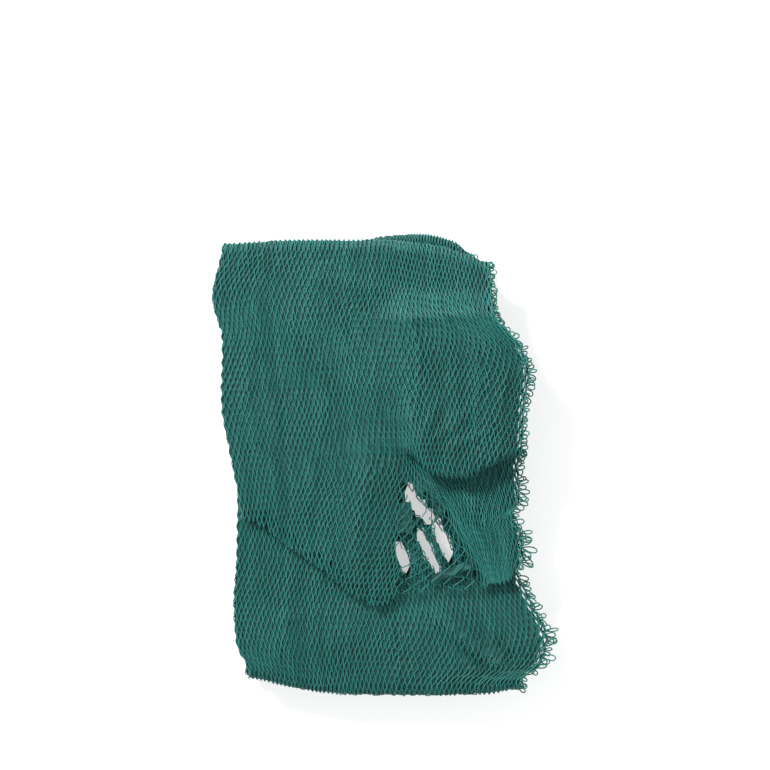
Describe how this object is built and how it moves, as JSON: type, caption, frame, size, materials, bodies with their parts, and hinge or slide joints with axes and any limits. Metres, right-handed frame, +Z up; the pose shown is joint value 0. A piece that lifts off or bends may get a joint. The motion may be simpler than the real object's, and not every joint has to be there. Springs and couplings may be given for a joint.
{
  "type": "folded fishing net",
  "caption": "Square of fine knotless fishing netting with looped selvedges, folded back and forth into a flat packet with a soft raised billow and a few parted slits.",
  "frame": {"origin": "centre of the bounding box at its bottom, on the surface that the packet lies on", "axes": "+X across the packet, +Y along it towards the end where the top pass folds over, +Z up through the passes"},
  "size_m": [0.1676, 0.233, 0.0337],
  "materials": {
    "netting_green": "fine twisted green twine, soft sheen"
  },
  "bodies": {
    "root": {"netting": "netting_green"}
  },
  "joints": []
}
